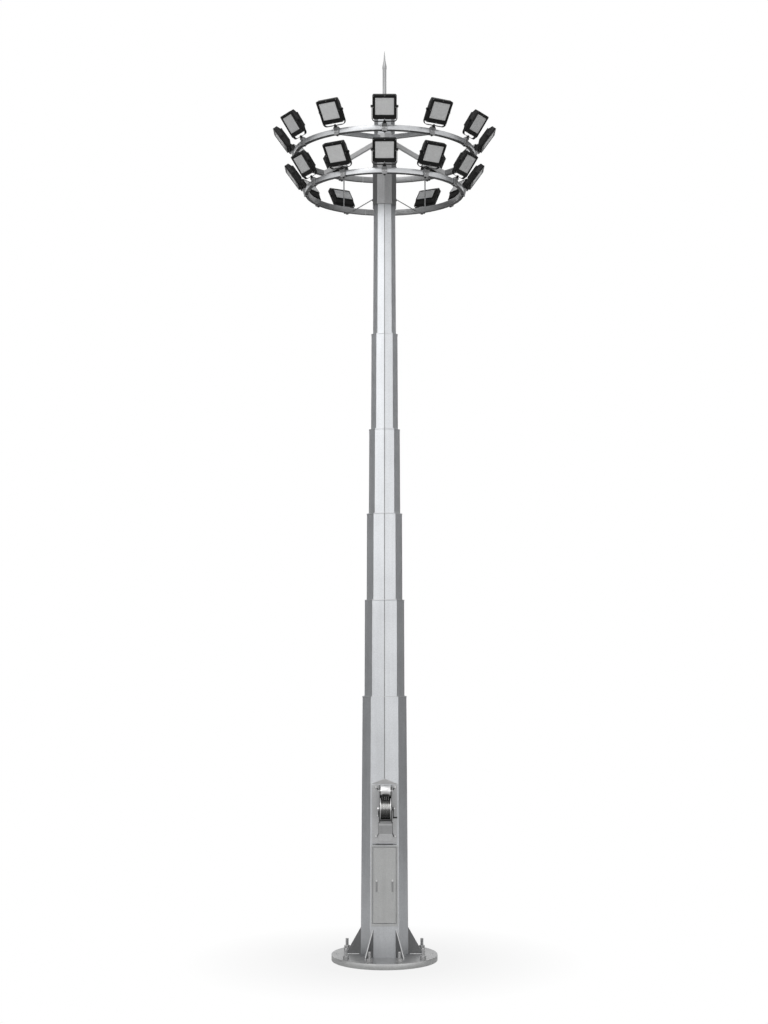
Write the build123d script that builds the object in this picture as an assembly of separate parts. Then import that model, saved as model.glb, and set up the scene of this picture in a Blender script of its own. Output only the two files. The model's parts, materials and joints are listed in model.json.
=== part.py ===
from build123d import *
import math
import os

# A stepped ten-sided steel mast on a bolted flange, with a hand winch and a service door on its
# front and two rings of tilting floodlights at its head.  All sizes are in millimetres.
# Z is up, the origin is the centre of the flange's underside, and the door and winch face -Y.
# A "bearing" is an angle seen from above, counted from the front (-Y) towards +X, in degrees.

# --- driving dimensions ---------------------------------------------------------------------
fit_gap = 0.3                  # between pieces that seat on a curved or sloping face
overlap = 1.0                  # how far fused shapes run into each other
moving_gap = 7.5               # between the door and its surround

side_count = 10                # the mast's sides
mast_height = 15000.0          # flange underside to the top of the mast

flange_diameter = 1850.0
flange_thickness = 100.0
bolt_edge_margin = 105.0       # bolt circle to the flange's edge
bolt_hole_diameter = 62.0
bolt_hole_count = 10
stud_diameter = 56.0
stud_top_height = 180.0        # above the flange
nut_across_flats = 88.0
nut_height = 50.0
washer_diameter = 112.0
washer_thickness = 10.0

gusset_thickness = 20.0
gusset_height = 465.0
gusset_foot_radius = 655.0     # from the mast's axis
gusset_toe = 40.0
gusset_bearings = [-150.0, -90.0, -30.0, 30.0, 90.0, 150.0]

# Height of each section's top, with the circumradius at its foot and at its top.
section_tops = [4572.0, 6266.0, 7795.0, 9301.0, 11019.0, mast_height]
section_foot_radii = [435.0, 369.5, 331.5, 293.0, 252.5, 216.0]
section_top_radii = [405.0, 364.5, 327.0, 285.5, 245.0, 195.0]
section_walls = [12.0, 10.0, 10.0, 8.0, 8.0, 6.0]
collar_thickness = 16.0        # plate that closes each section's top round the next one
collar_lip = 5.0               # how far that plate stands out beyond its section

flat_front_margin = 10.0       # winch plate's top to the end of the flat front
ridge_run = 105.0              # height over which the cut front corner grows back

doorway_width = 412.0
doorway_bottom = 674.0
doorway_tall = 1310.0
door_thickness = 12.0
door_hinge_inset = 8.0         # pivot axis from the door's left edge
door_pin_diameter = 8.0
door_pin_depth = 12.0
door_frame_gap = 4.0           # doorway edge to the raised frame
door_frame_width = 22.0
door_frame_bottom_width = 40.0
door_frame_thickness = 4.0

lock_spacing = 274.0           # between the two locks
lock_rise = 731.0              # above the doorway's foot
lock_boss_diameter = 34.0
lock_boss_length = 22.0
lock_spindle_diameter = 17.0
lock_nut_thickness = 10.0
lock_lever_length = 190.0
lock_lever_width = 24.0
lock_lever_corner = 11.0
lock_lever_thickness = 8.0
lock_lever_gap = 10.0          # lever to door face, over the raised frame

winch_offset = 18.0            # winch centre line, to the right of the mast's
winch_plate_width = 436.0
winch_plate_gap = 68.0         # doorway's top to the plate's foot
winch_plate_tall = 996.0
winch_plate_thickness = 12.0
winch_cheek_spacing = 204.0    # between the cheeks' inner faces
winch_cheek_thickness = 14.0
winch_axle_rise = 608.0        # above the plate's foot
winch_axle_reach = 205.0       # axle to the plate's face
winch_axle_diameter = 44.0
winch_axle_stub = 26.0         # beyond the left cheek
winch_cheek_nose = 62.0        # cheek's radius round the axle
winch_cheek_drop = 262.0       # axle to the cheeks' foot
drum_flange_diameter = 356.0
drum_flange_thickness = 10.0
drum_length = 188.0
drum_core_diameter = 200.0
rope_pack_diameter = 300.0
crank_length = 150.0
crank_arm_width = 34.0
crank_arm_thickness = 14.0
crank_boss_diameter = 64.0
crank_arm_offset = 10.0        # arm's inner face to the boss's inner end
crank_handle_diameter = 28.0
crank_handle_length = 60.0
roller_diameter = 190.0
roller_length = 170.0
roller_rise = 298.0            # above the drum's axle
roller_reach = 112.0
roller_axle_diameter = 30.0
roller_axle_end = 8.0          # beyond each cheek
tie_bar_diameter = 26.0
tie_bar_reach = 40.0           # bar to the plate's face
tie_bar_rise = 56.0            # bar above the cheeks' foot
apron_width = 236.0
apron_foot_margin = 33.0       # plate's foot to the apron's
apron_reach = 96.0
apron_foot_tall = 124.0        # flat part below the slope
apron_lip_tall = 34.0          # upright part above it
apron_thickness = 12.0

sleeve_drop = 340.0            # mast's top to the sleeve's top
sleeve_radius = 222.0          # circumradius
sleeve_tail = 252.0            # lower ring's middle to the sleeve's foot
upper_ring_drop = 354.0        # sleeve's top to the upper ring's middle
ring_spacing = 687.0           # between the two rings' middles
upper_ring_radius = 1640.0     # outer face
lower_ring_radius = 1430.0
ring_depth = 60.0
ring_tall = 100.0

spoke_bearings = [-135.0, -30.0, 30.0, 135.0]
spoke_width = 50.0
spoke_tall = 84.0
spoke_top_margin = 10.0        # sleeve's top to the spoke's upper edge
hanger_bearings = [-147.0, 147.0]
hanger_diameter = 24.0
hanger_arm_width = 30.0
hanger_arm_tall = 24.0
stay_bearings = [-155.0, 155.0]
stay_diameter = 18.0

lamp_count = 12                # on each ring
lamp_width = 412.0
lamp_tall = 420.0
lamp_front = 62.0              # pivot to the bezel's face
lamp_edge_depth = 84.0
lamp_back = 54.0               # pivot to the housing's back
lamp_back_tall = 270.0
lamp_corner = 22.0
lens_width = 318.0
lens_tall = 292.0
lens_shift = 13.0              # lens centre above the lamp's
lens_recess = 8.0
fin_count = 9
fin_height = 26.0
fin_thickness = 8.0
fin_margin = 10.0              # fin's end to the back's edge
lamp_tilt = 36.0               # lens below the level, at rest
pivot_reach = 200.0            # pivot beyond the ring's outer face
pivot_rise = 305.0             # pivot above the ring's middle
pivot_pin_diameter = 16.0
pivot_boss_diameter = 44.0
pivot_knob_length = 16.0

yoke_lean = 33.0               # from the upright, outwards
yoke_drop = 255.0              # pivot to the strap's inner face
yoke_strap_width = 44.0
yoke_strap_thickness = 9.0
yoke_side_gap = 6.0            # lamp's side to the strap
yoke_bend_radius = 60.0        # inside
neck_diameter = 40.0
neck_length = 24.0
clamp_width = 90.0
clamp_wall = 24.0
clamp_jaw = 14.0
clamp_cover = 45.0             # how far the jaws reach over the ring
clamp_seat_margin = 3.0        # seat's edge round the neck
clamp_shoulder = 40.0          # seat's bracket below the ring's upper face

cap_thickness = 14.0
cap_overhang = 10.0
finial_base_diameter = 150.0
finial_base_thickness = 20.0
finial_tube_diameter = 67.0
finial_tube_height = 905.0     # above the mast's top
finial_collar_diameter = 76.0
finial_collar_height = 50.0
finial_spike_diameter = 34.0
finial_tip_diameter = 6.0
finial_taper_height = 110.0
finial_height = 1236.0         # above the mast's top

# --- values worked out from them ------------------------------------------------------------
side_angle = 360.0 / side_count
flat_ratio = math.cos(math.radians(side_angle / 2))    # apothem over circumradius
chord_ratio = math.cos(math.radians(side_angle))       # flat front's distance over circumradius
bolt_circle_diameter = flange_diameter - 2 * bolt_edge_margin
section_feet = [flange_thickness] + section_tops[:-1]
sleeve_top = mast_height - sleeve_drop
upper_ring_height = sleeve_top - upper_ring_drop
lower_ring_height = upper_ring_height - ring_spacing
sleeve_bottom = lower_ring_height - sleeve_tail
doorway_top = doorway_bottom + doorway_tall
lock_height = doorway_bottom + lock_rise
winch_plate_bottom = doorway_top + winch_plate_gap
winch_plate_top = winch_plate_bottom + winch_plate_tall
winch_axle_height = winch_plate_bottom + winch_axle_rise
winch_cheek_bottom = winch_axle_height - winch_cheek_drop
roller_height = winch_axle_height + roller_rise
apron_bottom = winch_plate_bottom + apron_foot_margin
flat_front_top = winch_plate_top + flat_front_margin
ridge_start = flat_front_top + ridge_run
door_width = doorway_width - 2 * moving_gap
door_bottom = doorway_bottom + moving_gap
door_top = doorway_top - moving_gap
front_slope = ((section_foot_radii[0] - section_top_radii[0]) * chord_ratio
               / (section_tops[0] - section_feet[0]))
front_lean = math.degrees(math.atan(front_slope))


def bottom_radius(z):
    """Circumradius of the lowest section's outside at height z."""
    share = (z - section_feet[0]) / (section_tops[0] - section_feet[0])
    return section_foot_radii[0] + share * (section_top_radii[0] - section_foot_radii[0])


def top_radius(z):
    """Circumradius of the top section's outside at height z."""
    share = (z - section_feet[-1]) / (section_tops[-1] - section_feet[-1])
    return section_foot_radii[-1] + share * (section_top_radii[-1] - section_foot_radii[-1])


def front_face(z):
    """Distance from the axis to the flat front's outside at height z."""
    return bottom_radius(z) * chord_ratio


def at_bearing(shape, bearing):
    return Rot(0, 0, bearing) * shape


def decagon(radius, z):
    """A level face with a corner at the front."""
    corners = []
    for step in range(side_count):
        angle = math.radians(step * side_angle)
        corners.append((radius * math.sin(angle), -radius * math.cos(angle)))
    return Pos(0, 0, z) * make_face(Polyline(*corners, close=True))


def tapered(foot_radius, foot, upper_radius, top):
    return loft([decagon(foot_radius, foot), decagon(upper_radius, top)], ruled=True)


def side_slab(points, width):
    """A prism along X from points (y, z), centred on x = 0."""
    return extrude(make_face(Plane.YZ * Polyline(*points, close=True)), width / 2, both=True)


def block(x0, x1, y0, y1, z0, z1):
    centre = Pos((x0 + x1) / 2, (y0 + y1) / 2, (z0 + z1) / 2)
    return centre * Box(x1 - x0, y1 - y0, z1 - z0)


def rod_x(diameter, x0, x1, y, z):
    return Pos((x0 + x1) / 2, y, z) * Rot(0, 90, 0) * Cylinder(diameter / 2, x1 - x0)


def rod_y(diameter, y0, y1, x, z):
    return Pos(x, (y0 + y1) / 2, z) * Rot(90, 0, 0) * Cylinder(diameter / 2, y1 - y0)


def rod_z(diameter, z0, z1):
    return Pos(0, 0, (z0 + z1) / 2) * Cylinder(diameter / 2, z1 - z0)


def front_cut(inset):
    """The wedge in front of the flat face and the sloping facet above it, moved back by inset."""
    low = section_feet[0] - flange_thickness
    far = 2 * section_foot_radii[0]
    ridge = bottom_radius(ridge_start)
    points = [
        (-far, low),
        (inset - front_face(low), low),
        (inset - front_face(flat_front_top), flat_front_top),
        (inset - ridge, ridge_start),
        (-far, ridge_start),
    ]
    return side_slab(points, 2 * far)


# --- base -----------------------------------------------------------------------------------
def base_flange():
    plate = rod_z(flange_diameter, 0, flange_thickness)
    hole = Pos(0, -bolt_circle_diameter / 2, 0) * rod_z(bolt_hole_diameter, 0, flange_thickness)
    for index in range(bolt_hole_count):
        plate -= at_bearing(hole, (index + 0.5) * 360 / bolt_hole_count)
    return plate


def anchor_bolts():
    """A stud with its nut and washer in every hole but the two beside the side gussets."""
    flat = flange_thickness
    seat = flat + washer_thickness
    stud = rod_z(stud_diameter, 0, flat + stud_top_height)
    washer = rod_z(washer_diameter, flat, seat)
    hexagon = RegularPolygon(nut_across_flats / 2, 6, major_radius=False)
    nut = Pos(0, 0, seat) * extrude(hexagon, nut_height)
    bolt = Pos(0, -bolt_circle_diameter / 2, 0) * (stud + washer + nut)
    bolts = []
    for index in range(bolt_hole_count):
        bearing = (index + 0.5) * 360 / bolt_hole_count
        if abs(bearing - 90) > 1 and abs(bearing - 270) > 1:
            bolts.append(at_bearing(bolt, bearing))
    return bolts


def mast_outside_below_doors():
    foot, top = section_feet[0], section_tops[0]
    whole = tapered(section_foot_radii[0], foot, section_top_radii[0], top)
    return whole - front_cut(0)


def gusset_plates(mast_outside):
    """Triangular plates, each trimmed to the mast's wall."""
    foot = flange_thickness
    reach = gusset_foot_radius
    wall = bottom_radius(foot + gusset_height) * flat_ratio
    plates = []
    for bearing in gusset_bearings:
        inner = wall / 2
        points = [
            (-inner, foot),
            (-reach, foot),
            (-reach, foot + gusset_toe),
            (-wall, foot + gusset_height),
            (-inner, foot + gusset_height),
        ]
        plate = at_bearing(side_slab(points, gusset_thickness), bearing)
        plates.append((plate - mast_outside).solids().sort_by(SortBy.VOLUME)[-1])
    return plates


# --- mast -----------------------------------------------------------------------------------
def bottom_shell():
    """The lowest section's wall, flat in front, with no top plate."""
    foot, top = section_feet[0], section_tops[0]
    wall = section_walls[0]
    corner_wall = wall / flat_ratio
    inside = tapered(section_foot_radii[0] - corner_wall, foot,
                     section_top_radii[0] - corner_wall, top)
    inside -= front_cut(wall)
    return mast_outside_below_doors() - inside


def split_bottom_shell(shell):
    """Left and right walls, the two door jambs, the sill and the upper part of the section."""
    far = 2 * section_foot_radii[0]
    foot = section_feet[0]
    upper = shell & block(-far, far, -far, far, doorway_top, section_tops[0])
    lower = shell & block(-far, far, -far, far, foot, doorway_top)
    wall = section_walls[0]
    in_front = side_slab([
        (-far, foot),
        (wall - front_face(foot), foot),
        (wall - front_face(doorway_top), doorway_top),
        (-far, doorway_top),
    ], 2 * far)
    front = lower & in_front
    sides = lower - in_front
    left = sides & block(-far, 0, -far, far, foot, doorway_top)
    right = sides & block(0, far, -far, far, foot, doorway_top)
    half = doorway_width / 2
    jambs = [front & block(-far, -half, -far, far, foot, doorway_top),
             front & block(half, far, -far, far, foot, doorway_top)]
    sill = front & block(-half, half, -far, far, foot, doorway_bottom)
    return left, right, jambs, sill, upper


def collar(index):
    """The plate on top of a section, which the next one stands on."""
    top = section_tops[index]
    outer = section_top_radii[index]
    inner = section_foot_radii[index + 1] - section_walls[index + 1] / flat_ratio
    lip = outer + collar_lip
    plate = tapered(lip, top - collar_thickness, lip, top)
    bore = tapered(inner, top - collar_thickness, inner, top)
    return plate - bore


def mast_section(index):
    foot, top = section_feet[index], section_tops[index]
    corner_wall = section_walls[index] / flat_ratio
    outside = tapered(section_foot_radii[index], foot, section_top_radii[index], top)
    inside = tapered(section_foot_radii[index] - corner_wall, foot,
                     section_top_radii[index] - corner_wall, top)
    tube = outside - inside
    if index + 1 < len(section_tops):
        tube += collar(index)
    return tube


def mast_cap():
    return tapered(section_top_radii[-1] + cap_overhang, mast_height,
                   section_top_radii[-1] + cap_overhang, mast_height + cap_thickness)


def finial():
    seat = mast_height + cap_thickness
    collar_bottom = mast_height + finial_tube_height
    collar_top = collar_bottom + finial_collar_height
    taper_top = collar_top + finial_taper_height
    tip = mast_height + finial_height
    spike_radius = finial_spike_diameter / 2
    profile = [
        (0, seat),
        (finial_base_diameter / 2, seat),
        (finial_base_diameter / 2, seat + finial_base_thickness),
        (finial_tube_diameter / 2, seat + finial_base_thickness),
        (finial_tube_diameter / 2, collar_bottom),
        (finial_collar_diameter / 2, collar_bottom),
        (finial_collar_diameter / 2, collar_top),
        (spike_radius, taper_top),
        (finial_tip_diameter / 2, tip),
        (0, tip),
    ]
    return revolve(make_face(Plane.XZ * Polyline(*profile, close=True)), Axis.Z)


# --- door -----------------------------------------------------------------------------------
def door_place(height):
    """Frame on the flat front at a height: x to the right, y inwards, z up along the face."""
    return Pos(0, -front_face(height), height) * Rot(-front_lean, 0, 0)


def door():
    """A flat panel with a pivot pin at each end of its left edge."""
    half = door_width / 2
    tall = door_top - door_bottom
    panel = block(-half, half, 0, door_thickness, 0, tall)
    pin_x = -half + door_hinge_inset
    pin_y = door_thickness / 2
    reach = moving_gap + door_pin_depth
    pin = Pos(pin_x, pin_y, 0) * rod_z(door_pin_diameter, -reach, tall + reach)
    leaf = panel + pin
    for side in (-1, 1):
        leaf -= rod_y(lock_spindle_diameter + 2 * fit_gap, -overlap, door_thickness + overlap,
                      side * lock_spacing / 2, lock_height - door_bottom)
    return door_place(door_bottom) * leaf


def door_pin_holes():
    """What the door's pins need out of the sill and the section above the doorway."""
    pin_x = -door_width / 2 + door_hinge_inset
    reach = moving_gap + door_pin_depth + 2 * fit_gap
    tall = door_top - door_bottom
    hole = Pos(pin_x, door_thickness / 2, 0) * rod_z(door_pin_diameter + 2 * fit_gap,
                                                     -reach, tall + reach)
    return door_place(door_bottom) * hole


def door_lock(side):
    """A round boss on a spindle through the door, with a lever that hangs from it."""
    boss = rod_y(lock_boss_diameter, -lock_boss_length, -fit_gap, 0, 0)
    nut_seat = door_thickness + fit_gap
    spindle = rod_y(lock_spindle_diameter, -fit_gap, nut_seat, 0, 0)
    nut = rod_y(lock_boss_diameter, nut_seat, door_thickness + lock_nut_thickness, 0, 0)
    outer = -lock_lever_gap - lock_lever_thickness
    lever = block(-lock_lever_width / 2, lock_lever_width / 2, outer, -lock_lever_gap,
                  -lock_lever_length, 0)
    lever = fillet(lever.edges().filter_by(Axis.Y), lock_lever_corner)
    place = door_place(lock_height) * Pos(side * lock_spacing / 2, 0, 0)
    return place * (boss + spindle + nut + lever)


def door_frame():
    """A thin raised frame round the doorway."""
    inner = doorway_width / 2 + door_frame_gap
    outer = inner + door_frame_width
    bottom = doorway_bottom - door_frame_gap
    tall = doorway_top + door_frame_gap - bottom
    rim = block(-outer, outer, -door_frame_thickness, 0, -door_frame_bottom_width,
                tall + door_frame_width)
    rim -= block(-inner, inner, -door_frame_thickness, 0, 0, tall)
    return door_place(bottom) * rim


# --- winch ----------------------------------------------------------------------------------
def winch_place(height):
    return Pos(winch_offset, 0, 0) * door_place(height)


def winch_plate():
    tall = winch_plate_top - winch_plate_bottom
    half = winch_plate_width / 2
    return door_place(winch_plate_bottom) * block(-half, half, -winch_plate_thickness, 0, 0, tall)


def winch_point(reach):
    """Depth of a point that stands reach in front of the plate's face."""
    return -winch_plate_thickness - reach


def winch_frame():
    """Two upright cheeks that carry the drum's axle and the guide roller, and their tie bar."""
    base = winch_cheek_bottom
    face = -winch_plate_thickness
    axle_z = winch_axle_height - base
    roller_z = roller_height - base
    axle_y = winch_point(winch_axle_reach)
    roller_y = winch_point(roller_reach)
    roller_nose = roller_axle_diameter
    inner = winch_cheek_spacing / 2
    outer = inner + winch_cheek_thickness
    outline = [
        (face, 0),
        (axle_y, axle_z - winch_cheek_nose),
        (axle_y - winch_cheek_nose, axle_z),
        (axle_y, axle_z + winch_cheek_nose),
        (roller_y - roller_nose, roller_z),
        (roller_y, roller_z + roller_nose),
        (face, winch_plate_top - base),
    ]
    plate = side_slab(outline, winch_cheek_thickness)
    plate += rod_x(2 * winch_cheek_nose, -winch_cheek_thickness / 2, winch_cheek_thickness / 2,
                   axle_y, axle_z)
    plate -= rod_x(winch_axle_diameter + 2 * fit_gap, -outer, outer, axle_y, axle_z)
    plate -= rod_x(roller_axle_diameter + 2 * fit_gap, -outer, outer, roller_y, roller_z)
    middle = (inner + outer) / 2
    frame = rod_x(tie_bar_diameter, -outer, outer, winch_point(tie_bar_reach), tie_bar_rise)
    for side in (-1, 1):
        frame += Pos(side * middle, 0, 0) * plate
    return winch_place(base) * frame


def winch_apron():
    """The sloping cover below the drum."""
    top = winch_cheek_bottom - apron_bottom - 2 * fit_gap
    face = -winch_plate_thickness
    points = [
        (face, 0),
        (face - apron_thickness, 0),
        (face - apron_thickness, apron_foot_tall),
        (face - apron_reach, top - apron_lip_tall),
        (face - apron_reach, top),
        (face, top),
    ]
    return winch_place(apron_bottom) * side_slab(points, apron_width)


def winch_drum():
    """A flanged drum on an axle that runs in both cheeks."""
    half = drum_length / 2
    lip = drum_flange_thickness
    reach = winch_cheek_spacing / 2 + winch_cheek_thickness
    y = winch_point(winch_axle_reach)
    drum = rod_x(drum_core_diameter, -half, half, y, 0)
    drum += rod_x(drum_flange_diameter, -half, -half + lip, y, 0)
    drum += rod_x(drum_flange_diameter, half - lip, half, y, 0)
    drum += rod_x(winch_axle_diameter, -reach - winch_axle_stub, reach + fit_gap, y, 0)
    return winch_place(winch_axle_height) * drum


def winch_rope():
    """The wound rope, as a sleeve of the pack's size."""
    half = drum_length / 2 - drum_flange_thickness
    y = winch_point(winch_axle_reach)
    pack = rod_x(rope_pack_diameter, -half, half, y, 0)
    pack -= rod_x(drum_core_diameter, -half, half, y, 0)
    return winch_place(winch_axle_height) * pack


def winch_crank():
    """A crank arm on the axle's right end, hanging down, with a round grip."""
    start = winch_cheek_spacing / 2 + winch_cheek_thickness + fit_gap
    arm_start = start + crank_arm_offset
    end = arm_start + crank_arm_thickness
    y = winch_point(winch_axle_reach)
    boss = rod_x(crank_boss_diameter, start, end, y, 0)
    half = crank_arm_width / 2
    arm = block(arm_start, end, y - half, y + half, -crank_length, 0)
    tip = rod_x(crank_arm_width, arm_start, end, y, -crank_length)
    grip = rod_x(crank_handle_diameter, end, end + crank_handle_length, y, -crank_length)
    return winch_place(winch_axle_height) * (boss + arm + tip + grip)


def winch_roller():
    half = roller_length / 2
    reach = winch_cheek_spacing / 2 + winch_cheek_thickness + roller_axle_end
    y = winch_point(roller_reach)
    roller = rod_x(roller_diameter, -half, half, y, 0)
    roller += rod_x(roller_axle_diameter, -reach, reach, y, 0)
    return winch_place(roller_height) * roller


# --- head frame -----------------------------------------------------------------------------
def hub_sleeve():
    outside = tapered(sleeve_radius, sleeve_bottom, sleeve_radius, sleeve_top)
    inside = tapered(top_radius(sleeve_bottom) + fit_gap, sleeve_bottom,
                     top_radius(sleeve_top) + fit_gap, sleeve_top)
    return outside - inside


def ring(radius, height):
    outer = rod_z(2 * radius, height - ring_tall / 2, height + ring_tall / 2)
    inner = rod_z(2 * (radius - ring_depth), height - ring_tall / 2, height + ring_tall / 2)
    return outer - inner


def ring_spokes():
    """Sloping arms from the sleeve down to the upper ring's inner face."""
    inner = sleeve_radius / 2
    outer = upper_ring_radius - ring_depth
    half = spoke_tall / 2
    start = sleeve_top - spoke_top_margin - half
    end = upper_ring_height
    points = [
        (-inner, start - half),
        (-outer - overlap, end - half),
        (-outer - overlap, end + half),
        (-inner, start + half),
    ]
    bar = side_slab(points, spoke_width)
    bore = rod_z(2 * (outer - fit_gap), sleeve_bottom, mast_height)
    hub = tapered(sleeve_radius, sleeve_bottom, sleeve_radius, mast_height)
    arms = []
    for bearing in spoke_bearings:
        arm = (at_bearing(bar, bearing) & bore) - hub
        arms.append(arm.solids().sort_by(SortBy.VOLUME)[-1])
    return arms


def hanger_rods():
    """Rods from the upper ring down to the lower ring, each under a short arm."""
    lower_middle = lower_ring_radius - ring_depth / 2
    upper_inner = upper_ring_radius - ring_depth
    top = upper_ring_height - ring_tall / 2 + hanger_arm_tall
    low = lower_ring_height + ring_tall / 2
    arm_low = top - hanger_arm_tall
    rod = Pos(0, -lower_middle, 0) * rod_z(hanger_diameter, low, arm_low + overlap)
    half = hanger_arm_width / 2
    arm = block(-half, half, -upper_inner - overlap, half - lower_middle, arm_low, top)
    arm &= rod_z(2 * (upper_inner - fit_gap), arm_low, top)
    return [at_bearing(rod + arm, bearing) for bearing in hanger_bearings]


def stay_rods():
    """Level rods from the sleeve to the lower ring's inner face."""
    inner = sleeve_radius / 2
    outer = lower_ring_radius - ring_depth
    rod = rod_y(stay_diameter, -outer - overlap, -inner, 0, lower_ring_height)
    bore = rod_z(2 * (outer - fit_gap), sleeve_bottom, sleeve_top)
    hub = tapered(sleeve_radius, sleeve_bottom, sleeve_radius, sleeve_top)
    rods = []
    for bearing in stay_bearings:
        arm = (at_bearing(rod, bearing) & bore) - hub
        rods.append(arm.solids().sort_by(SortBy.VOLUME)[-1])
    return rods


# --- floodlights ----------------------------------------------------------------------------
def lamp_bearing(index):
    return index * 360.0 / lamp_count


def lamp_place(radius, height, lean):
    """At the front of a ring: the pivot as origin, turned outwards by lean."""
    return Pos(0, -radius - pivot_reach, height + pivot_rise) * Rot(lean, 0, 0)


def lamp_head():
    """Housing with a recessed lens in front, fins behind and a pivot pin on each side."""
    half_x = lamp_width / 2
    half_z = lamp_tall / 2
    back_z = lamp_back_tall / 2
    edge = lamp_edge_depth - lamp_front
    points = [
        (-lamp_front, -half_z),
        (edge, -half_z),
        (lamp_back, -back_z),
        (lamp_back, back_z),
        (edge, half_z),
        (-lamp_front, half_z),
    ]
    housing = side_slab(points, lamp_width)
    housing = fillet(housing.edges().filter_by(Axis.Y), lamp_corner)
    housing -= block(-lens_width / 2, lens_width / 2, -lamp_front, lens_recess - lamp_front,
                     lens_shift - lens_tall / 2, lens_shift + lens_tall / 2)
    pitch = (lamp_width - 2 * lamp_corner - fin_thickness) / (fin_count - 1)
    for index in range(fin_count):
        x = (index - (fin_count - 1) / 2) * pitch
        housing += block(x - fin_thickness / 2, x + fin_thickness / 2, lamp_back - overlap,
                         lamp_back + fin_height, fin_margin - back_z, back_z - fin_margin)
    ear_inner = half_x + yoke_side_gap
    ear_outer = ear_inner + yoke_strap_thickness
    for side in (-1, 1):
        reach = sorted([side * (half_x - overlap), side * (ear_inner - fit_gap)])
        housing += rod_x(pivot_boss_diameter, *reach, 0, 0)
        reach = sorted([side * half_x, side * (ear_outer + pivot_knob_length)])
        housing += rod_x(pivot_pin_diameter, *reach, 0, 0)
        reach = sorted([side * (ear_outer + fit_gap), side * (ear_outer + pivot_knob_length)])
        housing += rod_x(pivot_boss_diameter, *reach, 0, 0)
    return housing


def yoke():
    """A bent strap round the lamp's foot, on a short round neck."""
    inner_x = lamp_width / 2 + yoke_side_gap
    outer_x = inner_x + yoke_strap_thickness
    low = -yoke_drop
    outer_bend = yoke_bend_radius + yoke_strap_thickness
    half = yoke_strap_width / 2
    outside = block(-outer_x, outer_x, -half, half, low - yoke_strap_thickness, 0)
    inside = block(-inner_x, inner_x, -half, half, low, overlap)
    floor_edges = outside.edges().filter_by(Axis.Y).sort_by(Axis.Z)[:2]
    outside = fillet(floor_edges, outer_bend)
    floor_edges = inside.edges().filter_by(Axis.Y).sort_by(Axis.Z)[:2]
    inside = fillet(floor_edges, yoke_bend_radius)
    strap = outside - inside
    for side in (-1, 1):
        reach = sorted([side * inner_x, side * outer_x])
        strap += rod_x(yoke_strap_width, *reach, 0, 0)
    strap -= rod_x(pivot_pin_diameter + 2 * fit_gap, -outer_x, outer_x, 0, 0)
    neck_top = low - yoke_strap_thickness
    strap += rod_z(neck_diameter, neck_top - neck_length, neck_top)
    return strap


def ring_clamp():
    """A bracket hooked over the ring's outer face, with a sloping seat for the yoke's neck."""
    lean = math.radians(yoke_lean)
    out, up = math.sin(lean), math.cos(lean)
    drop = yoke_drop + yoke_strap_thickness + neck_length
    seat_out = pivot_reach - drop * out
    seat_up = pivot_rise - drop * up
    half_seat = neck_diameter / 2 + clamp_seat_margin
    half_tall = ring_tall / 2
    points = [
        (-clamp_cover, half_tall),
        (fit_gap, half_tall),
        (fit_gap, -half_tall),
        (-clamp_cover, -half_tall),
        (-clamp_cover, -half_tall - clamp_jaw),
        (clamp_wall, -half_tall - clamp_jaw),
        (clamp_wall, half_tall - clamp_shoulder),
        (seat_out + half_seat * up, seat_up - half_seat * out),
        (seat_out - half_seat * up, seat_up + half_seat * out),
        (-clamp_wall / 2, half_tall + clamp_jaw),
        (-clamp_cover, half_tall + clamp_jaw),
    ]
    return side_slab([(-reach, z) for reach, z in points], clamp_width)


def round_the_ring(shape, turn=0.0):
    return [at_bearing(shape, lamp_bearing(index) + turn) for index in range(lamp_count)]


# --- writing --------------------------------------------------------------------------------
def save(name, shapes):
    """Write one node, from one shape or a list of shapes that don't touch."""
    solids = []
    for shape in shapes if isinstance(shapes, list) else [shapes]:
        solids.extend(shape.solids())
    whole = solids[0] if len(solids) == 1 else Compound(children=solids)
    export_step(whole, f"parts/{name}.step")


def main():
    os.makedirs("parts", exist_ok=True)
    mast_outside = mast_outside_below_doors()
    left, right, jambs, sill, upper = split_bottom_shell(bottom_shell())
    pin_holes = door_pin_holes()

    save("base_flange", base_flange())
    save("anchor_bolts", anchor_bolts())
    save("gusset_plates", gusset_plates(mast_outside))
    save("base_shell_left", left)
    save("base_shell_right", right)
    save("door_jambs", jambs)
    save("door_sill", sill - pin_holes)
    save("mast_section_1", (upper + collar(0)) - pin_holes)
    for index in range(1, len(section_tops)):
        save(f"mast_section_{index + 1}", mast_section(index))
    save("mast_cap", mast_cap())
    save("finial", finial())

    save("door_frame", door_frame())
    save("door", door())
    save("door_lock_left", door_lock(-1))
    save("door_lock_right", door_lock(1))

    save("winch_plate", winch_plate())
    save("winch_frame", winch_frame())
    save("winch_apron", winch_apron())
    save("winch_drum", winch_drum())
    save("winch_rope", winch_rope())
    save("winch_crank", winch_crank())
    save("winch_roller", winch_roller())

    save("hub_sleeve", hub_sleeve())
    save("ring_spokes", ring_spokes())
    save("lower_ring_stays", hanger_rods() + stay_rods())
    head = lamp_head()
    strap = yoke()
    rings = {"upper": (upper_ring_radius, upper_ring_height),
             "lower": (lower_ring_radius, lower_ring_height)}
    for name, (radius, height) in rings.items():
        save(f"{name}_ring", ring(radius, height))
        clamp = Pos(0, -radius, height) * ring_clamp()
        save(f"{name}_lamp_clamps", round_the_ring(clamp))
        save(f"{name}_lamp_yokes", round_the_ring(lamp_place(radius, height, yoke_lean) * strap))
        placed = lamp_place(radius, height, lamp_tilt) * head
        for index in range(lamp_count):
            save(f"{name}_lamp_{index + 1:02d}", at_bearing(placed, lamp_bearing(index)))


main()
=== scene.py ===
import json
import math

import bmesh
import bpy
from mathutils import Matrix, Vector


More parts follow.
